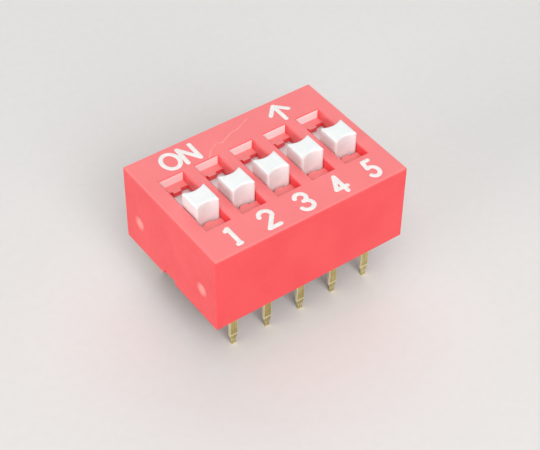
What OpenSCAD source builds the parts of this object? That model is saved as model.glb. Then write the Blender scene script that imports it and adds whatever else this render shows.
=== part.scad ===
// Slide-type DIP switch: a row of small ON/OFF slides in a red moulded housing.
// Millimetres. X runs along the row of positions, Y from the OFF side to the ON side, Z up.
// The origin is under the middle of the body, level with the tips of the pins.

/* [Positions] */
// Number of switches in the row
positions = 5; // [2:1:12]
// Spacing of the positions and of the pins in a row
pitch = 2.54; // [2.5:0.02:2.6]
// Distance between the two rows of pins
row_spacing = 7.62; // [7.4:0.02:7.7]
// Where the slides stand: 0 is OFF, 1 is ON
on_share = 0; // [0:0.05:1]

/* [Housing] */
// Length of the housing beyond the pitches it spans, both ends together
end_length = 1.3; // [1.1:0.05:1.4]
// Width of the housing
housing_width = 9.95; // [9.8:0.05:10.2]
// Height of the housing
housing_height = 5.6; // [5.6:0.05:6]
// Thickness of the two long walls
side_wall = 0.85; // [0.7:0.05:0.9]
// Thickness of the two end walls
end_wall = 0.8; // [0.7:0.05:0.8]
// Thickness of the top
deck = 1; // [0.95:0.05:1.1]
// Radius of the upper edges and the upright corners
edge_radius = 0.08; // [0.06:0.02:0.4]
// Radius of the upright corners inside
inner_radius = 0.3; // [0.15:0.05:0.3]
// Thickness of the partitions between neighbouring positions
partition = 0.44; // [0.36:0.02:0.46]
// Width of the notch in each end wall's lower edge
notch_width = 1.2; // [0.6:0.1:1.6]
// Height of the notch in each end wall's lower edge
notch_height = 0.28; // [0.2:0.02:0.6]
// How far the middle of a notch lies towards the ON side
notch_offset = 0.15; // [-0.3:0.05:0.3]
// Diameter of the staking dimples in the end walls
dimple_diameter = 1.16; // [0.8:0.02:1.3]

/* [Windows] */
// Width of a window in the top
window_width = 1.66; // [1.64:0.02:1.8]
// Front edge of the windows
window_front = -2.46; // [-2.6:0.02:-2.2]
// Back edge of the windows
window_back = 2.6; // [2.4:0.02:2.8]
// Depth of a window down to its ledges
window_depth = 0.69; // [0.5:0.01:0.75]
// Width of the sloping edge break round a window
window_break = 0.08; // [0.04:0.01:0.12]
// Front edge of the slot that goes through
slot_front = -1.45; // [-1.5:0.01:-1.43]
// Back edge of the slot that goes through
slot_back = 2.06; // [2.04:0.01:2.12]
// Width of the tongue in the middle of each ledge
tongue_width = 0.56; // [0.4:0.02:0.6]
// How far the back tongue reaches over the slot
back_tongue = 0.19; // [0.1:0.01:0.2]
// How far the front tongue reaches over the slot
front_tongue = 0.14; // [0.05:0.01:0.15]

/* [Slides] */
// Travel of a slide from OFF to ON
travel = 1.8; // [1.6:0.05:1.8]
// Width of a slide's knob
knob_width = 1.56; // [1.4:0.02:1.58]
// Front face of the knob in the OFF position
knob_front = -1.4; // [-1.42:0.01:-1.36]
// Length of the knob along its travel
knob_length = 1.58; // [1.4:0.02:1.6]
// Height of the knob above the housing
knob_rise = 0.88; // [0.3:0.02:1.2]
// Depth of the hollow in the knob's front and back faces
scoop_depth = 0.19; // [0.17:0.01:0.2]
// Width of the hollow in the knob's front and back faces
scoop_width = 1.36; // [1.3:0.02:1.4]
// Width of the edge break round the knob's top
knob_break = 0.06; // [0.02:0.01:0.1]
// Width of the foot plate under the housing's top
foot_width = 2; // [1.9:0.02:2]
// Thickness of the foot plate
foot_thickness = 0.5; // [0.4:0.05:0.6]
// Height of the carrier block's underside above the housing's underside
carrier_height = 2.2; // [2.1:0.05:2.4]
// Width of the carrier block that holds the contact
carrier_width = 1.7; // [1.6:0.05:1.7]
// Length of the carrier block
carrier_length = 3.2; // [3.1:0.05:3.3]

/* [Terminals] */
// Length of the pins below the housing
pin_drop = 3.45; // [2.8:0.05:4]
// Width of a pin
pin_width = 0.6; // [0.4:0.01:0.6]
// Thickness of the terminal strip
strip = 0.22; // [0.15:0.01:0.22]
// Length of a pin's coined tip: its taper and its nib together
tip_length = 0.86; // [0.6:0.02:1]
// Length of the straight nib that ends a pin
nib_length = 0.36; // [0.2:0.02:0.5]
// Width of the nib
nib_width = 0.32; // [0.25:0.01:0.38]
// Thickness of the nib
nib_thickness = 0.12; // [0.08:0.01:0.14]
// Width of a terminal's contact arm
arm_width = 1; // [0.8:0.05:1]
// Inside radius of the bend between pin and arm
bend_radius = 0.1; // [0.05:0.01:0.15]
// Width of the bevel on a pin's four long edges
pin_bevel = 0.04; // [0.02:0.01:0.06]

/* [Base] */
// How far the base's underside lies above the housing's underside
base_recess = 0.25; // [0.15:0.05:0.3]
// Height of the base's floor, on which the arms lie
floor_height = 1.35; // [1.3:0.05:1.4]
// Height of the shoulder at which a pin widens into its arm
shoulder_height = 0.85; // [0.7:0.05:0.95]
// Width of the insulating bar between the front arms and the back arms
barrier = 0.84; // [0.7:0.02:0.84]
// Gap between the two sides' arms
arm_gap = 0.9; // [0.9:0.02:1]

/* [Contacts] */
// Thickness of the bridging contact's strip
spring = 0.12; // [0.08:0.01:0.12]
// Width of the bridging contact
spring_width = 1.2; // [1:0.05:1.2]
// Distance from the middle of a contact to each of its feet
foot_reach = 1.2; // [1.1:0.02:1.25]
// Width of the slit that splits each leg in two
slit = 0.2; // [0.1:0.02:0.3]
// Diameter of the post that the contact is staked to
post_diameter = 0.5; // [0.4:0.02:0.54]

/* [Hidden] */
$fn = 64;
// Reach of cutting bodies past the faces they open
past = 0.5;
// Side gap between parts that slide in or on each other
fit = 0.05;
// Gap of a press fit
press = 0.01;

housing_length = positions * pitch + end_length;
cavity_length = housing_length - 2 * end_wall;
cavity_width = housing_width - 2 * side_wall;
cavity_height = housing_height - deck;
ledge_height = housing_height - window_depth;
arm_top = floor_height + strip;
// The front arms reach the middle of the base, the back arms stop short of it
front_reach = row_spacing / 2;
back_reach = row_spacing / 2 - arm_gap;

// Staking: a dimple outside, a nub inside, a recess in the base's corner post
stake_y = 3.4;
stake_height = 2.1;
stake_depth = 0.07;
dimple_radius = (pow(dimple_diameter / 2, 2) + pow(stake_depth, 2)) / (2 * stake_depth);
nub_diameter = 0.7;
socket_diameter = 0.9;
post_height = 2.8;
corner_post = [0.42, 1];

// Slides
slide_shift = travel * on_share;
slide_middle = -travel / 2;
foot_top = cavity_height - fit;
foot_bottom = foot_top - foot_thickness;
foot_front = -3.6;
foot_back = 2.2;
foot_corner = 0.25;
// How deep the knob and the carrier are rooted in the foot plate
root = 0.15;
knob_top = housing_height + knob_rise;
scoop_radius = (pow(scoop_width / 2, 2) + pow(scoop_depth, 2)) / (2 * scoop_depth);
pocket = [1.3, 2.8];
pocket_roof = 3.6;
head_diameter = 0.8;

// Contacts: a flat middle, two steep legs and two upturned feet, in the plane of Y and Z
spring_middle = pocket_roof - spring / 2;
spring_bend = 0.25;
flat_reach = 0.45;
foot_clearance = 0.02;
tip_heading = 45;
tip_run = 0.08;
hip = [flat_reach, spring_middle - spring_bend];
heel = [foot_reach, arm_top + foot_clearance + spring / 2 + spring_bend];
leg_span = norm(heel - hip);
leg_heading = atan2(heel.y - hip.y, heel.x - hip.x) - asin(2 * spring_bend / leg_span);

position_x = [for (i = [0:positions - 1]) (i - (positions - 1) / 2) * pitch];
partition_x = [for (i = [1:positions - 1]) (i - positions / 2) * pitch];

function numbered(name) = [for (i = [1:positions]) str(name, "_", i)];

// Points of an arc round a centre, from one angle to another
function arc(centre, radius, from, to, steps = 6) = [
    for (k = [0:steps])
        let (a = from + (to - from) * k / steps)
            centre + radius * [cos(a), sin(a)]
];
function reversed(points) = [for (k = [len(points) - 1:-1:0]) points[k]];
function flipped(points) = [for (p = points) [-p.x, p.y]];

// A rectangle with round corners, centred
module rounded_rect(size, radius) {
    square(size - [2 * radius, 0], center = true);
    square(size - [0, 2 * radius], center = true);
    for (sx = [-1, 1], sy = [-1, 1])
        translate([sx * (size.x / 2 - radius), sy * (size.y / 2 - radius)])
            circle(radius);
}

// A profile drawn in X and Z, extruded along Y from one place to another
module along_y(from, to) {
    translate([0, to, 0])
        rotate([90, 0, 0])
            linear_extrude(to - from)
                children();
}

// A profile drawn in Y and Z, extruded along X, centred
module along_x(length) {
    rotate([90, 0, 90])
        linear_extrude(length, center = true)
            children();
}

// A block with round upright corners and a round upper rim, and a flat underside
module soft_block(length, width, height, radius) {
    x = length / 2 - radius;
    y = width / 2 - radius;
    linear_extrude(height - radius)
        rounded_rect([length, width], radius);
    linear_extrude(height)
        square([2 * x, 2 * y], center = true);
    translate([0, 0, height - radius]) {
        for (sx = [-1, 1], sy = [-1, 1])
            translate([sx * x, sy * y])
                sphere(radius);
        for (s = [-1, 1]) {
            translate([0, s * y])
                along_x(2 * x)
                    circle(radius);
            translate([s * x, 0])
                along_y(-y, y)
                    circle(radius);
        }
    }
}

// A window's section: straight walls that flare out at the top
module flared_profile(low, high, bottom, top, flare) {
    polygon([
        [low, bottom],
        [high, bottom],
        [high, top - flare],
        [high + flare, top],
        [high + flare, top + past],
        [low - flare, top + past],
        [low - flare, top],
        [low, top - flare],
    ]);
}

// The upper, wide part of a window, with its mitred edge break
module window_recess() {
    far = housing_width / 2;
    intersection() {
        along_y(-far, far)
            flared_profile(
                -window_width / 2, window_width / 2,
                ledge_height, housing_height, window_break
            );
        along_x(2 * window_width)
            flared_profile(
                window_front, window_back,
                ledge_height, housing_height, window_break
            );
    }
}

// The slot through a window's floor, with a tongue left standing at each end
module slot_outline() {
    difference() {
        translate([-window_width / 2, slot_front])
            square([window_width, slot_back - slot_front]);
        translate([-tongue_width / 2, slot_back - back_tongue])
            square([tongue_width, back_tongue + past]);
        translate([-tongue_width / 2, slot_front - past])
            square([tongue_width, front_tongue + past]);
    }
}

module window() {
    window_recess();
    translate([0, 0, cavity_height - past])
        linear_extrude(ledge_height - cavity_height + 2 * past)
            slot_outline();
}

// Places its children at the four stakes, with Z pointing out of the end wall's inner face
module at_stakes(x) {
    for (sx = [-1, 1], sy = [-1, 1])
        translate([sx * x, sy * stake_y, stake_height])
            rotate([0, sx * 90, 0])
                children();
}

module cover() {
    color([0.87, 0.12, 0.15])
        translate([0, 0, pin_drop]) {
            difference() {
                soft_block(housing_length, housing_width, housing_height, edge_radius);
                translate([0, 0, -past])
                    linear_extrude(cavity_height + past)
                        rounded_rect([cavity_length, cavity_width], inner_radius);
                for (x = position_x)
                    translate([x, 0, 0])
                        window();
                at_stakes(housing_length / 2 - stake_depth + dimple_radius)
                    sphere(dimple_radius);
                translate([0, notch_offset, notch_height / 2 - past / 2])
                    cube([housing_length + past, notch_width, notch_height + past], center = true);
            }
            for (x = partition_x)
                translate([x, 0, carrier_height])
                    linear_extrude(cavity_height - carrier_height + deck / 2)
                        square([partition, cavity_width + side_wall], center = true);
            at_stakes(cavity_length / 2 - stake_depth)
                cylinder(h = 2 * stake_depth, d = nub_diameter);
        }
}

// The knob's hollow, a round groove that flares at the knob's upper edge
module scoop(y, side) {
    flare_bottom = knob_top - knob_break;
    translate([0, y + side * (scoop_radius - scoop_depth), 0]) {
        cylinder(h = knob_top + past, r = scoop_radius);
        translate([0, 0, flare_bottom])
            cylinder(h = 2 * knob_break, r1 = scoop_radius, r2 = scoop_radius + 2 * knob_break);
    }
}

// An upright profile with its two upper corners cut off
module bevelled_profile(low, high, bottom, top, bevel) {
    polygon([
        [low, bottom],
        [high, bottom],
        [high, top - bevel],
        [high - bevel, top],
        [low + bevel, top],
        [low, top - bevel],
    ]);
}

module knob() {
    knob_back = knob_front + knob_length;
    bottom = foot_top - root;
    difference() {
        intersection() {
            along_y(knob_front, knob_back)
                bevelled_profile(
                    -knob_width / 2, knob_width / 2,
                    bottom, knob_top, knob_break
                );
            along_x(knob_width)
                bevelled_profile(
                    knob_front, knob_back,
                    bottom, knob_top, knob_break
                );
        }
        scoop(knob_front, -1);
        scoop(knob_back, 1);
    }
}

// The plate that closes the slot from below and keeps the slide in
module foot_plate() {
    translate([0, (foot_front + foot_back) / 2, foot_bottom])
        linear_extrude(foot_thickness)
            rounded_rect([foot_width, foot_back - foot_front], foot_corner);
}

// The block under the foot plate, with a pocket and a staked post for the contact
module carrier() {
    head_height = spring;
    translate([0, slide_middle, 0]) {
        difference() {
            translate([0, 0, carrier_height])
                linear_extrude(foot_bottom - carrier_height + root)
                    square([carrier_width, carrier_length], center = true);
            translate([0, 0, carrier_height - past])
                linear_extrude(pocket_roof - carrier_height + past)
                    square(pocket, center = true);
        }
        translate([0, 0, pocket_roof - spring - head_height])
            cylinder(h = spring + head_height + past / 2, d = post_diameter);
        translate([0, 0, pocket_roof - spring - head_height - press])
            cylinder(h = head_height, d1 = post_diameter, d2 = head_diameter);
    }
}

module slide(x) {
    color([0.95, 0.95, 0.93])
        translate([x, slide_shift, pin_drop]) {
            knob();
            foot_plate();
            carrier();
        }
}

// One side of half the contact's strip, off its middle line by the given distance
function contact_side(off) = let (
    toe = heel + (spring_bend - off) * [cos(tip_heading - 90), sin(tip_heading - 90)]
) concat(
    arc(hip, spring_bend + off, 90, 90 + leg_heading),
    arc(heel, spring_bend - off, leg_heading - 90, tip_heading - 90),
    [toe + tip_run * [cos(tip_heading), sin(tip_heading)]]
);

module contact(x) {
    upper = contact_side(spring / 2);
    lower = contact_side(-spring / 2);
    slit_start = flat_reach + spring_bend;
    color([0.74, 0.5, 0.3])
        translate([x, slide_middle + slide_shift, pin_drop])
            difference() {
                along_x(spring_width)
                    polygon(concat(
                        upper,
                        reversed(lower),
                        flipped(lower),
                        reversed(flipped(upper))
                    ));
                translate([0, 0, pocket_roof - spring])
                    cylinder(h = 3 * spring, d = post_diameter + 2 * fit, center = true);
                for (s = [-1, 1])
                    translate([0, s * (slit_start + foot_reach), 0])
                        cube([slit, 2 * foot_reach, 2 * spring_middle], center = true);
            }
}

// A terminal's side view: the pin, the bend and the arm, with Y measured from the pin's middle
module terminal_side(reach) {
    under = floor_height;
    outer_bend = bend_radius + strip;
    polygon(concat(
        [
            [-strip / 2, tip_length - pin_drop],
            [-nib_thickness / 2, nib_length - pin_drop],
            [-nib_thickness / 2, -pin_drop],
            [nib_thickness / 2, -pin_drop],
            [nib_thickness / 2, nib_length - pin_drop],
            [strip / 2, tip_length - pin_drop],
        ],
        arc([strip / 2 + bend_radius, under - bend_radius], bend_radius, 180, 90),
        [[reach, under], [reach, arm_top]],
        arc([outer_bend - strip / 2, arm_top - outer_bend], outer_bend, 90, 180)
    ));
}

// A terminal's front view: nib, taper and pin below, the wider arm above its shoulder
module terminal_front() {
    right = [
        [nib_width / 2, -pin_drop],
        [nib_width / 2, nib_length - pin_drop],
        [pin_width / 2, tip_length - pin_drop],
        [pin_width / 2, shoulder_height],
        [arm_width / 2, shoulder_height],
        [arm_width / 2, arm_top],
    ];
    polygon(concat(right, reversed(flipped(right))));
}

// The pin's section with its long edges bevelled, below the arm's full blank
module terminal_blank(reach) {
    edge = pin_width / 2;
    face = strip / 2;
    section = [
        [edge, -face + pin_bevel],
        [edge, face - pin_bevel],
        [edge - pin_bevel, face],
        [pin_bevel - edge, face],
        [-edge, face - pin_bevel],
        [-edge, pin_bevel - face],
        [pin_bevel - edge, -face],
        [edge - pin_bevel, -face],
    ];
    // The pin's section runs up into the block above it, so that the two are one body
    translate([0, 0, -pin_drop])
        linear_extrude(pin_drop + base_recess + strip)
            polygon(section);
    translate([-arm_width / 2, -strip / 2, base_recess])
        cube([arm_width, reach + strip / 2, arm_top - base_recess]);
}

// One stamped and bent terminal; side is -1 in the front row and 1 in the back row
module terminal(x, side, reach) {
    color([0.72, 0.66, 0.38])
        translate([x, side * row_spacing / 2, pin_drop])
            rotate([0, 0, side < 0 ? 0 : 180])
                intersection() {
                    along_x(arm_width)
                        terminal_side(reach);
                    along_y(-strip, reach + strip)
                        terminal_front();
                    terminal_blank(reach);
                }
}

// The opening in the base for one terminal: narrow for the pin, wide for shoulder and bend
module terminal_slot() {
    tight = 2 * press;
    relief = bend_radius + strip / 2;
    translate([0, 0, (shoulder_height - past) / 2])
        cube([pin_width + tight, strip + tight, shoulder_height + past], center = true);
    translate([-(arm_width + tight) / 2, -(strip + tight) / 2, shoulder_height - press])
        cube([arm_width + tight, strip + tight, floor_height]);
    translate([-(arm_width + tight) / 2, 0, floor_height - bend_radius - press])
        cube([arm_width + tight, relief + press, past]);
}

module base() {
    length = cavity_length - 2 * fit;
    width = cavity_width - 2 * fit;
    color([0.11, 0.11, 0.12])
        translate([0, 0, pin_drop])
            difference() {
                union() {
                    translate([0, 0, base_recess])
                        linear_extrude(floor_height - base_recess)
                            rounded_rect([length, width], inner_radius);
                    for (x = partition_x)
                        translate([x, 0, base_recess])
                            linear_extrude(carrier_height - base_recess)
                                square([partition, width], center = true);
                    translate([0, arm_gap / 2, base_recess])
                        linear_extrude(arm_top - base_recess)
                            square([length, barrier], center = true);
                    for (sx = [-1, 1], sy = [-1, 1])
                        translate([
                            sx * (length - corner_post.x) / 2,
                            sy * stake_y,
                            base_recess,
                        ])
                            linear_extrude(post_height - base_recess)
                                square(corner_post, center = true);
                }
                for (x = position_x, side = [-1, 1])
                    translate([x, side * row_spacing / 2, 0])
                        rotate([0, 0, side < 0 ? 0 : 180])
                            terminal_slot();
                at_stakes(length / 2 - stake_depth - fit)
                    cylinder(h = past, d = socket_diameter);
            }
}

cover();
base();
for (i = [1:positions]) {
    x = position_x[i - 1];
    slide(x);
    contact(x);
    terminal(x, -1, front_reach);
    terminal(x, 1, back_reach);
}
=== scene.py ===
"""A five-position slide-type DIP switch standing on its pins: finishes, print, floor, light and camera.

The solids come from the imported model. Lengths here are in millimetres of the model's own frame, and MM
turns them to the scene's metres: X runs along the row of positions, Y from the OFF side to the ON side,
Z up from the tips of the pins.
"""

import math

import bpy
import numpy as np
from mathutils import Matrix, Vector


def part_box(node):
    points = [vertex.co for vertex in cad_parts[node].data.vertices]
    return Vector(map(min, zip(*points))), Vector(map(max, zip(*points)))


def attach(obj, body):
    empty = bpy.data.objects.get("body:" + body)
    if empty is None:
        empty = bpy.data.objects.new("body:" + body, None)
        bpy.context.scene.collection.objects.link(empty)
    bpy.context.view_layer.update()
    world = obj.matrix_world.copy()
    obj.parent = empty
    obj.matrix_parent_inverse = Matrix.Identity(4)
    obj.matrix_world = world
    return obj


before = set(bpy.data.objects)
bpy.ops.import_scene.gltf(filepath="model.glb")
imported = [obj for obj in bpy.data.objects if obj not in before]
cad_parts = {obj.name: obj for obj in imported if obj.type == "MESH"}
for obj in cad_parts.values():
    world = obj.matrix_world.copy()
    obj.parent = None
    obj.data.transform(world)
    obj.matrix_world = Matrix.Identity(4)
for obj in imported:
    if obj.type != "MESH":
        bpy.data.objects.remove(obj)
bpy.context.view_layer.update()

MM = 0.001
POSITIONS = 5
PITCH = 2.54

# Places on the cover. A window's back is its ON-end wall, its break is the step below the rim, and its
# depth goes down to the ledge
cover_low, cover_high = (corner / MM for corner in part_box("cover"))
END, SIDE, TOP = cover_high
WINDOW_WIDTH = 1.66
WINDOW_BACK = 2.6
WINDOW_BREAK = 0.08
WINDOW_DEPTH = 0.69
LEDGE = TOP - WINDOW_DEPTH
DIMPLE_Y = 3.4
DIMPLE_Z = cover_low.z + 2.1

# A flow line on the top, where two fronts of melt met between the second and third windows
FLOW_LINE = [
    (-2.25, 2.7), (-1.65, 3.3), (-1.1, 3.57), (-0.8, 3.38), (0.1, 3.83), (0.75, 3.92), (1.75, 4.4),
]

# Heights between which the look of the walls gives way to the top's, and distances out from the middle
# between which the windows' looks give way to that of the end walls
TOP_FADE = (TOP - 0.06, TOP - 0.01)
END_FADE = (END - 0.6, END - 0.5)

# Distances at which a mark is last full and first gone, from its middle, or from the rim's edge
FLOW_LINE_FADE = (0.02, 0.07)
DIMPLE_FADE = (0.2, 0.58)
RIM_FADE = (0.04, 0.18)

# A pin's width, and how far above its end its nib and its taper begin
PIN_WIDTH = 0.6
NIB_LENGTH = 0.36
TIP_LENGTH = 0.86

# ---------------------------------------------------------------------------------------------
# Colours and nodes
# ---------------------------------------------------------------------------------------------

# Settings of a Map Range node that eases in and out, and is held at its ends
SMOOTH = {"interpolation_type": "SMOOTHSTEP"}

# Noise gathers round a half: the levels between which most of it lies, and nearly all of it
MOST_NOISE = (0.35, 0.65)
ALL_NOISE = (0.3, 0.7)


def linear(code):
    """An sRGB hex colour as linear red, green, blue and full alpha."""
    channels = [int(code[i : i + 2], 16) / 255 for i in (1, 3, 5)]
    return [c / 12.92 if c <= 0.04045 else ((c + 0.055) / 1.055) ** 2.4 for c in channels] + [1.0]


def add(tree, kind, inputs=(), **settings):
    """Adds one shader node, with its own properties as settings.

    The inputs are listed in the order of its sockets, or given by socket. Each is a value, one of a
    node's outputs, or a node, whose first output is meant.
    """
    node = tree.nodes.new("ShaderNode" + kind)
    for name, value in settings.items():
        setattr(node, name, value)
    by_socket = inputs if isinstance(inputs, dict) else dict(enumerate(inputs))
    for socket, value in by_socket.items():
        if isinstance(value, bpy.types.Node):
            value = value.outputs[0]
        if isinstance(value, bpy.types.NodeSocket):
            tree.links.new(value, node.inputs[socket])
        else:
            node.inputs[socket].default_value = value
    return node


def new_material(name, sockets):
    """A material with a Principled surface, its plain sockets set, and the point on it in millimetres."""
    material = bpy.data.materials.new(name)
    material.use_nodes = True
    tree = material.node_tree
    tree.nodes.clear()
    surface = add(tree, "BsdfPrincipled", sockets)
    add(tree, "OutputMaterial", [surface])
    place = add(tree, "TexCoord").outputs["Object"]
    place = add(tree, "VectorMath", {0: place, "Scale": 1 / MM}, operation="SCALE")
    return material, tree, surface, place


def clouds(tree, place, size, detail=2.0, stretch=(1, 1, 1)):
    """Cloudy noise, 0 to 1, with blobs about the given size across before the stretch."""
    spread = add(tree, "Mapping", {"Vector": place, "Scale": tuple(1 / (size * s) for s in stretch)})
    return add(tree, "TexNoise", {"Vector": spread, "Scale": 1.0, "Detail": detail, "Roughness": 0.55})


def within(tree, *bands):
    """1 where every band holds, and 0 outside them.

    A band is a coordinate, the two places between which the share rises, and the two between which it
    falls, or None on an open side. The shares of all bands are multiplied together.
    """
    shares = []
    for coordinate, rise, fall in bands:
        for ends, levels in ((rise, (0.0, 1.0)), (fall, (1.0, 0.0))):
            if ends:
                shares.append(add(tree, "MapRange", [coordinate, *ends, *levels], **SMOOTH))
    share = shares[0]
    for step in shares[1:]:
        share = add(tree, "Math", [share, step], operation="MULTIPLY")
    return share


def around(place, full, blur):
    """Rise and fall of a band that is full within a distance of a place and has blurred ends."""
    return (place - full - blur, place - full), (place + full, place + full + blur)


def paint(tree, surface, code, layers):
    """Colours a surface. Over the first colour goes each layer: a mask, its strength and its colour."""
    colour = linear(code)
    for mask, strength, layer_code in layers:
        share = add(tree, "Math", [mask, strength], operation="MULTIPLY")
        mixed = add(tree, "Mix", {0: share, 6: colour, 7: linear(layer_code)}, data_type="RGBA")
        colour = mixed.outputs[2]
    tree.links.new(colour, surface.inputs["Base Color"])


def press_grain(tree, surface, grain, depth, edge=None, roughness=None):
    """Gives a surface a grain of some depth, and rounds the shading of its sharp edges.

    The edge is the radius of that rounding. The roughness, where it follows the grain, is given by its
    lowest and highest value.
    """
    rounding = {"Normal": add(tree, "Bevel", {"Radius": edge * MM}, samples=6)} if edge else {}
    relief = add(tree, "Bump", {"Height": grain, "Strength": 1.0, "Distance": depth * MM, **rounding})
    tree.links.new(relief.outputs[0], surface.inputs["Normal"])
    if roughness:
        rough = add(tree, "MapRange", [grain, *ALL_NOISE, *roughness], **SMOOTH)
        tree.links.new(rough.outputs[0], surface.inputs["Roughness"])


# ---------------------------------------------------------------------------------------------
# Cover
# ---------------------------------------------------------------------------------------------


def line_distance(tree, place, points):
    """Distance, seen from above, to a bent line through the given points.

    On each straight run the nearest point is the start plus a share of the run: the offset from the
    start, dotted with the run over its length squared, and held between 0 and 1.
    """
    flat = add(tree, "VectorMath", [place, (1, 1, 0)], operation="MULTIPLY")
    gaps = []
    for start, end in zip(points[:-1], points[1:]):
        start, end = Vector((*start, 0)), Vector((*end, 0))
        run = end - start
        offset = add(tree, "VectorMath", [flat, start], operation="SUBTRACT")
        share = add(tree, "VectorMath", [offset, run / run.length_squared], operation="DOT_PRODUCT")
        held = add(tree, "Math", [share.outputs["Value"], 0.0], operation="ADD", use_clamp=True)
        foot = add(tree, "VectorMath", {0: run, "Scale": held}, operation="SCALE")
        gaps.append(add(tree, "VectorMath", [offset, foot], operation="DISTANCE").outputs["Value"])
    nearest = gaps[0]
    for gap in gaps[1:]:
        nearest = add(tree, "Math", [nearest, gap], operation="MINIMUM")
    return nearest


def flow_line_mask(tree, place, z):
    """A hairline along the flow line, stronger and weaker by turns."""
    distance = line_distance(tree, place, FLOW_LINE)
    hairline = within(tree, (distance, None, FLOW_LINE_FADE), (z, TOP_FADE, None))
    strength = add(tree, "MapRange", [clouds(tree, place, 0.5, 3.0), *MOST_NOISE, 0.1, 0.42], **SMOOTH)
    return add(tree, "Math", [hairline, strength], operation="MULTIPLY")


def dimple_highlight_mask(tree, out_x, out_y, z):
    """A pale disc in each staking dimple of the two end walls, a painted highlight of the dent."""
    across = add(tree, "Math", [out_y, DIMPLE_Y], operation="SUBTRACT")
    above = add(tree, "Math", [z, DIMPLE_Z], operation="SUBTRACT")
    offset = add(tree, "CombineXYZ", [across, above])
    distance = add(tree, "VectorMath", [offset], operation="LENGTH").outputs["Value"]
    on_end = (out_x, (END - 0.1, END - 0.08), None)
    return within(tree, (distance, None, DIMPLE_FADE), on_end)


def ink_mask(tree, x, y, z, clear_of_ends):
    """Ink that the print pad carried down the windows' ON-end walls, its share rising towards the last
    position.
    """
    rim = TOP - WINDOW_BREAK
    in_depth = (z, (LEDGE - 0.01, LEDGE + 0.03), (rim, rim + 0.03))
    at_wall = (y, *around(WINDOW_BACK, full=0.004, blur=0.016))
    on_wall = within(tree, at_wall, in_depth, clear_of_ends)
    # How much of the ink shows rises along the row towards the last position
    thickness = add(tree, "MapRange", [x, -3 * PITCH, 2 * PITCH, 0.72, 1.0], **SMOOTH)
    return add(tree, "Math", [on_wall, thickness], operation="MULTIPLY")


def top_sheen_mask(tree, z):
    """The top, painted paler: a painted sheen standing in for the glossy haze that the top reflects."""
    return within(tree, (z, TOP_FADE, None))


def ledge_light_mask(tree, out_y, z, clear_of_ends):
    """The windows' ledges, painted paler: painted light and sheen that lift the shade of the recess."""
    in_windows = (out_y, None, (WINDOW_BACK, WINDOW_BACK + 0.1))
    return within(tree, (z, *around(LEDGE, full=0.01, blur=0.02)), in_windows, clear_of_ends)


def side_light_mask(tree, out_x, y, z):
    """The windows' side walls between the middle and the ON end, painted paler: painted light on walls
    that lie in shade.
    """
    from_window = add(tree, "Math", [out_x, PITCH / 2], operation="PINGPONG")
    on_wall = (from_window, *around(WINDOW_WIDTH / 2, full=0.02, blur=0.03))
    near_end = (y, (0.2, 1.2), (WINDOW_BACK - 0.6, WINDOW_BACK - 0.1))
    in_depth = (z, (LEDGE - 0.02, LEDGE + 0.02), TOP_FADE)
    return within(tree, on_wall, near_end, in_depth)


def rim_highlight_mask(tree, out_x, out_y, z):
    """The rim of the top, painted pale as a painted highlight: near both the top and one of the outer
    walls.
    """
    to_end = add(tree, "Math", [END, out_x], operation="SUBTRACT")
    to_side = add(tree, "Math", [SIDE, out_y], operation="SUBTRACT")
    to_top = add(tree, "Math", [TOP, z], operation="SUBTRACT")
    to_wall = add(tree, "Math", [to_end, to_side], operation="MINIMUM")
    to_rim = add(tree, "Math", [to_wall, to_top], operation="MAXIMUM")
    return within(tree, (to_rim, None, RIM_FADE))


def cover_material():
    """Red PBT, injection moulded in a fine spark-eroded mould.

    To the eye it is satin and a little translucent. It has a pale flow line and a film of print ink on the
    windows' ON-end walls. Painted sheen and painted light make the top, the windows' ledges and their side
    walls paler, and painted highlights lie in the staking dimples and along the rim.
    """
    material, tree, surface, place = new_material(
        "red_moulded_pbt",
        {
            "IOR": 1.57,
            "Subsurface Weight": 0.12,
            "Subsurface Radius": (1.0, 0.22, 0.16),
            "Subsurface Scale": 0.35 * MM,
        },
    )
    x, y, z = add(tree, "SeparateXYZ", [place]).outputs

    # How far out from the middle a point lies each way, and the band that leaves out the two end walls
    out_x = add(tree, "Math", [x], operation="ABSOLUTE")
    out_y = add(tree, "Math", [y], operation="ABSOLUTE")
    clear_of_ends = (out_x, None, END_FADE)

    # Slow drifts of shade a few millimetres wide, where the melt cooled at different speeds
    drift = add(tree, "MapRange", [clouds(tree, place, 3.5), *MOST_NOISE, 0.0, 1.0], **SMOOTH)
    layers = [
        (drift, 1.0, "#F4484D"),
        # Painted sheen: the top made paler
        (top_sheen_mask(tree, z), 0.2, "#E8D4D2"),
        # Painted light on the ledges, lifting the shade of the recess
        (ledge_light_mask(tree, out_y, z, clear_of_ends), 0.3, "#EED4D1"),
        # Painted light on the windows' side walls towards the ON end
        (side_light_mask(tree, out_x, y, z), 0.17, "#FFD2CE"),
        (flow_line_mask(tree, place, z), 1.0, "#FFC2B4"),
        # Painted highlight in the staking dimples
        (dimple_highlight_mask(tree, out_x, out_y, z), 0.58, "#FFB9AE"),
        # Painted highlight along the rim
        (rim_highlight_mask(tree, out_x, out_y, z), 0.12, "#FFB4AC"),
        (ink_mask(tree, x, y, z, clear_of_ends), 1.0, "#FFFAF8"),
    ]
    paint(tree, surface, "#F03F46", layers)

    # Spark-eroded grain of about 0.06 mm, drawn at 0.12 mm so that it shows
    press_grain(tree, surface, clouds(tree, place, 0.12), 0.0035, edge=0.03, roughness=(0.36, 0.48))
    return material


# ---------------------------------------------------------------------------------------------
# Slides, base, terminals and contacts
# ---------------------------------------------------------------------------------------------


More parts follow.
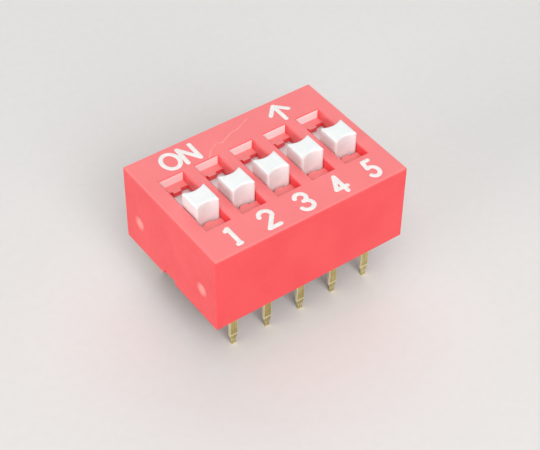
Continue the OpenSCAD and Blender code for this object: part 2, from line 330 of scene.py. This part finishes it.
def slide_material():
    """White nylon, injection moulded: milky and translucent, faintly cool, with a soft sheen."""
    material, tree, surface, place = new_material(
        "white_moulded_nylon",
        {
            "IOR": 1.53,
            "Subsurface Weight": 0.6,
            "Subsurface Radius": (1.0, 0.9, 0.8),
            "Subsurface Scale": 0.5 * MM,
        },
    )

    # Clouds about 1.2 mm across, where the nylon cooled milkier or clearer
    milky = add(tree, "MapRange", [clouds(tree, place, 1.2), *MOST_NOISE, 0.0, 1.0], **SMOOTH)
    paint(tree, surface, "#E9EEEE", [(milky, 1.0, "#EEF2F1")])

    # Spark-eroded grain of about 0.05 mm, drawn at 0.1 mm so that it shows
    press_grain(tree, surface, clouds(tree, place, 0.1), 0.002, edge=0.05, roughness=(0.33, 0.45))
    return material


def base_material():
    """Black glass-filled PBT, injection moulded: dull, with a fine grain."""
    material, tree, surface, place = new_material("black_moulded_pbt", {"Roughness": 0.55, "IOR": 1.54})
    paint(tree, surface, "#19191B", [(clouds(tree, place, 1.5, 3.0), 1.0, "#242427")])

    # The glass fibres are about 0.01 mm thick, and their grain is drawn at 0.1 mm so that it shows
    press_grain(tree, surface, clouds(tree, place, 0.1), 0.005, edge=0.04)
    return material


def strip_metal(name, roughness):
    """Metal stamped from rolled strip: fine upright rolling lines, and a shade that drifts."""
    material, tree, surface, place = new_material(name, {"Metallic": 1.0})

    # Rolling lines of about 0.01 mm, drawn 0.05 mm wide so that they show
    rolled = clouds(tree, place, 0.05, 3.0, stretch=(1, 1, 30))
    drift = clouds(tree, place, 0.9)
    total = add(tree, "Math", [rolled, drift], operation="ADD")
    mean = add(tree, "Math", [total, 0.5], operation="MULTIPLY")
    shade = add(tree, "MapRange", [mean, 0.38, 0.62, 0.0, 1.0], **SMOOTH)
    press_grain(tree, surface, rolled, 0.002, edge=0.02, roughness=roughness)
    return material, tree, surface, place, shade


def terminal_material():
    """Gold-flashed phosphor bronze, stamped and bent: a pale olive gold, satin, with rolling lines.

    The long edges are painted pale, a painted highlight where their bevels catch the light. The tips are
    coined, and painted glints lie on the lines where the taper and the nib begin.
    """
    material, tree, surface, place, shade = strip_metal("gold_flashed_bronze", (0.24, 0.38))
    x, _, z = add(tree, "SeparateXYZ", [place]).outputs
    out_x = add(tree, "Math", [x], operation="ABSOLUTE")
    from_pin = add(tree, "Math", [out_x, PITCH / 2], operation="PINGPONG")
    # Painted highlight: the long edges made pale where their bevels catch the light
    edges = within(tree, (from_pin, (PIN_WIDTH / 2 - 0.09, PIN_WIDTH / 2 - 0.03), None))
    # Painted glints on the lines where the taper and the nib begin
    taper_glint = within(tree, (z, *around(TIP_LENGTH, full=0.03, blur=0.05)))
    nib_glint = within(tree, (z, *around(NIB_LENGTH, full=0.03, blur=0.05)))
    layers = [
        (shade, 1.0, "#D6CA90"),
        (edges, 0.7, "#FFF8DC"),
        (taper_glint, 1.0, "#FFF6D2"),
        (nib_glint, 0.4, "#FFF6D2"),
    ]
    paint(tree, surface, "#B9AC6C", layers)
    return material


def contact_material():
    """Bare phosphor bronze spring strip, stamped and formed: warm brown gold."""
    material, tree, surface, _, shade = strip_metal("phosphor_bronze_spring", (0.25, 0.4))
    paint(tree, surface, "#A87848", [(shade, 1.0, "#C8935C")])
    return material


def dress(names, material):
    """Gives a finish to CAD nodes."""
    for name in names:
        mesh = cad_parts[name].data
        mesh.materials.clear()
        mesh.materials.append(material)


def numbered(stem):
    """The names of a piece that comes once at each position."""
    return [f"{stem}_{i}" for i in range(1, POSITIONS + 1)]


dress(["cover"], cover_material())
dress(["base"], base_material())
dress(numbered("slide"), slide_material())
dress(numbered("contact"), contact_material())
dress(numbered("terminal_front") + numbered("terminal_back"), terminal_material())

# ---------------------------------------------------------------------------------------------
# Print on the top
# ---------------------------------------------------------------------------------------------

# A stroke's width, the film's thickness, the width of its rounded edge, and how far its underside lies
# below the top, so that no two faces lie in one plane
STROKE = 0.3
INK_THICKNESS = 0.02
INK_EDGE = 0.05
INK_SINK = 0.004

# The cells of the grid that the film is cut from, and the rim of empty cells round it
INK_STEP = 0.025
INK_MARGIN = 3 * INK_STEP


def ink_material():
    """White epoxy ink, pad printed: matt, thin, a shade uneven."""
    material, tree, surface, place = new_material("white_pad_print_ink", {"Roughness": 0.55, "IOR": 1.5})

    # Patches about 0.25 mm across, where the pad laid the ink on thicker
    uneven = add(tree, "MapRange", [clouds(tree, place, 0.25, 3.0), *MOST_NOISE, 0.0, 1.0], **SMOOTH)
    paint(tree, surface, "#EAE6E3", [(uneven, 1.0, "#F2EEEC")])

    # The ink's tooth of about 0.03 mm, drawn at 0.08 mm so that it shows
    press_grain(tree, surface, clouds(tree, place, 0.08), 0.003)
    return material


INK = ink_material()


def arc(centre, radii, start, end, steps=24):
    """Points round an ellipse from one angle to another, in degrees: centre + radii * (cos, sin)."""
    angle = np.radians(np.linspace(start, end, steps + 1))
    return np.column_stack([centre[0] + radii[0] * np.cos(angle), centre[1] + radii[1] * np.sin(angle)])


def line(*points):
    """Straight runs through the given points."""
    return np.array(points, float)


def path(*runs):
    """Several runs of points joined into one stroke."""
    return np.vstack(runs)


def stroke_distance(x, y, strokes):
    """Least distance from each grid point to the strokes' middle lines, taken over all their pieces."""
    starts = np.vstack([s[:-1] for s in strokes])
    runs = np.vstack([s[1:] - s[:-1] for s in strokes])
    dx = x[..., None] - starts[:, 0]
    dy = y[..., None] - starts[:, 1]
    along = (dx * runs[:, 0] + dy * runs[:, 1]) / (runs**2).sum(1)
    along = np.clip(along, 0, 1)
    return np.hypot(dx - along * runs[:, 0], dy - along * runs[:, 1]).min(-1)


def cut_share(value, following):
    """How far along each grid edge the outline cuts it: value / (value - following value).

    Where the two are equal nothing cuts the edge, and its share is never used.
    """
    fall = value - following
    return value / np.where(fall == 0, 1, fall)


def film_plan(strokes):
    """A film seen from above: its points, how deep each lies inside the outline, and its faces.

    The outline is where the distance to the strokes' middle lines is half their width. It is found on a
    grid by the sign at each cell's four corners, with straight cuts between them. The faces are given as
    all their corners in a row, and the number of corners of each.
    """
    points = np.vstack(strokes)
    low = points.min(0) - STROKE / 2 - INK_MARGIN
    high = points.max(0) + STROKE / 2 + INK_MARGIN
    x_lines = np.arange(low[0], high[0], INK_STEP)
    y_lines = np.arange(low[1], high[1], INK_STEP)
    x, y = np.meshgrid(x_lines, y_lines, indexing="ij")
    field = stroke_distance(x, y, strokes) - STROKE / 2

    # The outline is kept off the grid points, so that no face shrinks to nothing
    least = INK_STEP / 50
    field = np.where(np.abs(field) < least, np.copysign(least, field), field)

    # Points that a face may use: the grid's own, then cuts along X, then cuts along Y
    along_x = x[:-1] + cut_share(field[:-1], field[1:]) * INK_STEP
    along_y = y[:, :-1] + cut_share(field[:, :-1], field[:, 1:]) * INK_STEP
    cut_x = np.stack([along_x, y[:-1]], -1).reshape(-1, 2)
    cut_y = np.stack([x[:, :-1], along_y], -1).reshape(-1, 2)
    plan = np.vstack([np.stack([x, y], -1).reshape(-1, 2), cut_x, cut_y])
    depth = np.concatenate([-field.ravel(), np.zeros(len(cut_x) + len(cut_y))])
    nx, ny = field.shape
    grid_id = np.arange(nx * ny).reshape(nx, ny)
    x_id = nx * ny + np.arange((nx - 1) * ny).reshape(nx - 1, ny)
    y_id = nx * ny + (nx - 1) * ny + np.arange(nx * (ny - 1)).reshape(nx, ny - 1)

    # Round each cell, anticlockwise: corner, cut, corner, cut ...
    ring = [
        grid_id[:-1, :-1], x_id[:, :-1], grid_id[1:, :-1], y_id[1:, :],
        grid_id[1:, 1:], x_id[:, 1:], grid_id[:-1, 1:], y_id[:-1, :],
    ]
    ring = np.stack(ring, -1).reshape(-1, 8)
    inside = field < 0
    signs = [inside[:-1, :-1], inside[1:, :-1], inside[1:, 1:], inside[:-1, 1:]]
    case = np.stack(signs, -1).reshape(-1, 4) @ np.array([1, 2, 4, 8])

    # Each cell keeps its inner corners, and the cuts between an inner and an outer one
    rows, sizes = [], []
    for pattern in range(1, 16):
        kept = [bool(pattern >> k & 1) for k in range(4)]
        slots = []
        for k in range(4):
            if kept[k]:
                slots.append(2 * k)
            if kept[k] != kept[(k + 1) % 4]:
                slots.append(2 * k + 1)
        faces = ring[case == pattern][:, slots]
        rows.append(faces.ravel())
        sizes.append(np.full(len(faces), len(slots)))
    used, corners = np.unique(np.concatenate(rows), return_inverse=True)
    return plan[used], depth[used], corners, np.concatenate(sizes)


def film_surface(plan, depth, corners, sizes):
    """The closed surface of a film: points in millimetres, faces' corners in a row, and their numbers.

    The upper side rises from the outline to the full thickness along a quarter round: thickness *
    sqrt(1 - (1 - depth / edge)^2). The underside is flat, shares the outline's points, and has the same
    faces turned over.
    """
    rise = INK_THICKNESS * np.sqrt(1 - (1 - np.clip(depth / INK_EDGE, 0, 1)) ** 2)
    inner = np.flatnonzero(depth > 0)
    below = np.arange(len(plan))
    below[inner] = len(plan) + np.arange(len(inner))
    upper = np.column_stack([plan, TOP - INK_SINK + rise])
    under = np.column_stack([plan[inner], np.full(len(inner), TOP - INK_SINK)])
    corners = np.concatenate([corners, below[corners][::-1]])
    return np.vstack([upper, under]), corners, np.concatenate([sizes, sizes[::-1]])


def ink_film(name, origin, strokes):
    """A closed film of ink on the top of the cover, drawn from an origin on it."""
    placed = [stroke + np.array(origin) for stroke in strokes]
    points, corners, sizes = film_surface(*film_plan(placed))
    mesh = bpy.data.meshes.new(name)
    mesh.vertices.add(len(points))
    mesh.vertices.foreach_set("co", (points * MM).ravel())
    mesh.loops.add(len(corners))
    mesh.loops.foreach_set("vertex_index", corners)
    mesh.polygons.add(len(sizes))
    mesh.polygons.foreach_set("loop_start", np.cumsum(sizes) - sizes)
    mesh.shade_smooth()
    mesh.update(calc_edges=True)
    mesh.materials.append(INK)
    piece = bpy.data.objects.new(name, mesh)
    bpy.context.scene.collection.objects.link(piece)
    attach(piece, "housing")


# Drawn from the foot of the O
WORD_ON = [
    arc((0, 0.71), (0.56, 0.69), 0, 360, 60),
    line((0.82, 0), (0.88, 1.38), (1.74, 0), (1.77, 1.38)),
]

# A plain arrow towards the ON side, drawn from the end of its shaft
ARROW = [
    line((0, 0), (0, 1.4)),
    line((-0.68, 0.72), (0, 1.44), (0.68, 0.72)),
]

# Each drawn from the middle of its window, on the line that the digits stand on
DIGITS = [
    [
        line((-0.02, 1.27), (0.2, 1.4), (0.2, 0)),
        line((0.04, 0), (0.26, 0)),
    ],
    [
        path(
            arc((0.11, 1.03), (0.41, 0.39), 175, -20),
            line((-0.29, -0.01), (0.49, -0.01)),
        )
    ],
    [
        arc((0.13, 1.07), (0.36, 0.35), 165, -90),
        arc((0.12, 0.35), (0.42, 0.38), 85, -170),
    ],
    [
        line((0.32, -0.03), (0.32, 1.39), (-0.24, 0.35), (0.56, 0.35)),
    ],
    [
        path(
            line((0.39, 1.41), (-0.02, 1.41), (-0.1, 0.81)),
            arc((0.07, 0.41), (0.36, 0.42), 115, -150),
        )
    ],
]

WORD_PLACE = (-4.36, 3.03)
ARROW_PLACE = (3.78, 3.0)
DIGITS_Y = -4.43
WINDOWS_X = [(i - (POSITIONS - 1) / 2) * PITCH for i in range(POSITIONS)]

ink_film("print_on", WORD_PLACE, WORD_ON)
ink_film("print_arrow", ARROW_PLACE, ARROW)
for name, window_x, digit in zip(numbered("print"), WINDOWS_X, DIGITS):
    ink_film(name, (window_x, DIGITS_Y), digit)

# ---------------------------------------------------------------------------------------------
# Floor, light and camera
# ---------------------------------------------------------------------------------------------

# How far the floor reaches each way
FLOOR_REACH = 1500

# What the camera looks at, from how far and from where, in degrees, and its lens
CAMERA_AIM = (0.5236, 0.1401, 3.8311)
CAMERA_DISTANCE = 90.8
CAMERA_AZIMUTH = -36.317
CAMERA_ELEVATION = 44.066
CAMERA_ROLL = 0.769
CAMERA_LENS = 96.08
CAMERA_SENSOR = 36


def direction(azimuth, elevation):
    """The unit vector from the object towards a place in the studio, by its angles in degrees.

    Azimuth 0 is on the OFF side (-Y), and 90 at the last position's end (+X).
    """
    a, e = math.radians(azimuth), math.radians(elevation)
    return Vector((math.sin(a) * math.cos(e), -math.cos(a) * math.cos(e), math.sin(e)))


def pale_floor():
    """A wide sheet of pale matt card under the pins, faintly mottled by its fibres."""
    corners = np.array([(-1, -1, 0), (1, -1, 0), (1, 1, 0), (-1, 1, 0)]) * FLOOR_REACH
    mesh = bpy.data.meshes.new("floor")
    mesh.from_pydata(corners * MM, [], [(0, 1, 2, 3)])
    floor = bpy.data.objects.new("floor", mesh)
    bpy.context.scene.collection.objects.link(floor)
    material, tree, surface, place = new_material("pale_card", {"Roughness": 0.8})

    # Card fibres about 0.6 mm long
    paint(tree, surface, "#DEDDDB", [(clouds(tree, place, 0.6, 4.0), 1.0, "#E4E3E1")])
    mesh.materials.append(material)


def soft_light(name, azimuth, elevation, distance, size, power):
    """A square soft box that faces the middle of the object. Its power is in watts."""
    way = direction(azimuth, elevation)
    data = bpy.data.lights.new(name, "AREA")
    data.shape = "SQUARE"
    data.size = size * MM
    data.energy = power
    light = bpy.data.objects.new(name, data)
    light.location = Vector((0, 0, TOP / 2)) * MM + way * distance * MM
    light.rotation_euler = way.to_track_quat("Z", "Y").to_euler()
    bpy.context.scene.collection.objects.link(light)


def studio_world(ambient, backdrop):
    """Even light from all round, and a pale backdrop for the camera and for mirrors and glass."""
    world = bpy.data.worlds.new("studio")
    world.use_nodes = True
    tree = world.node_tree
    tree.nodes.clear()
    rays = add(tree, "LightPath").outputs
    seen = add(tree, "Math", [rays["Is Camera Ray"], rays["Is Glossy Ray"]], operation="MAXIMUM")
    seen = add(tree, "Math", [seen, rays["Is Transmission Ray"]], operation="MAXIMUM")
    plain = add(tree, "Background", [linear("#FFFFFF"), ambient])
    shown = add(tree, "Background", [linear("#E2E1DF"), backdrop])
    add(tree, "OutputWorld", [add(tree, "MixShader", [seen, plain, shown])])
    bpy.context.scene.world = world


def main_camera():
    """A long lens from the front left, looking down on the top, with a touch of roll."""
    data = bpy.data.cameras.new("camera")
    data.lens = CAMERA_LENS
    data.sensor_width = CAMERA_SENSOR
    data.clip_start = 1 * MM
    data.clip_end = 10000 * MM
    camera = bpy.data.objects.new("camera", data)
    back = direction(CAMERA_AZIMUTH, CAMERA_ELEVATION)
    place = (Vector(CAMERA_AIM) + back * CAMERA_DISTANCE) * MM
    roll = Matrix.Rotation(math.radians(CAMERA_ROLL), 3, "Z")
    turn = back.to_track_quat("Z", "Y").to_matrix() @ roll
    camera.matrix_world = Matrix.Translation(place) @ turn.to_4x4()
    bpy.context.scene.collection.objects.link(camera)
    bpy.context.scene.camera = camera


pale_floor()
soft_light("key", azimuth=-22, elevation=48, distance=400, size=250, power=0.53)
soft_light("overhead", azimuth=-50, elevation=78, distance=400, size=300, power=0.35)
soft_light("back_haze", azimuth=143.7, elevation=44, distance=400, size=350, power=0.34)
soft_light("front_fill", azimuth=-12, elevation=33, distance=400, size=220, power=0.6)
soft_light("left_fill", azimuth=-85, elevation=13, distance=500, size=220, power=0.97)
studio_world(ambient=0.25, backdrop=1.0)
main_camera()
bpy.context.scene.view_settings.view_transform = "Standard"
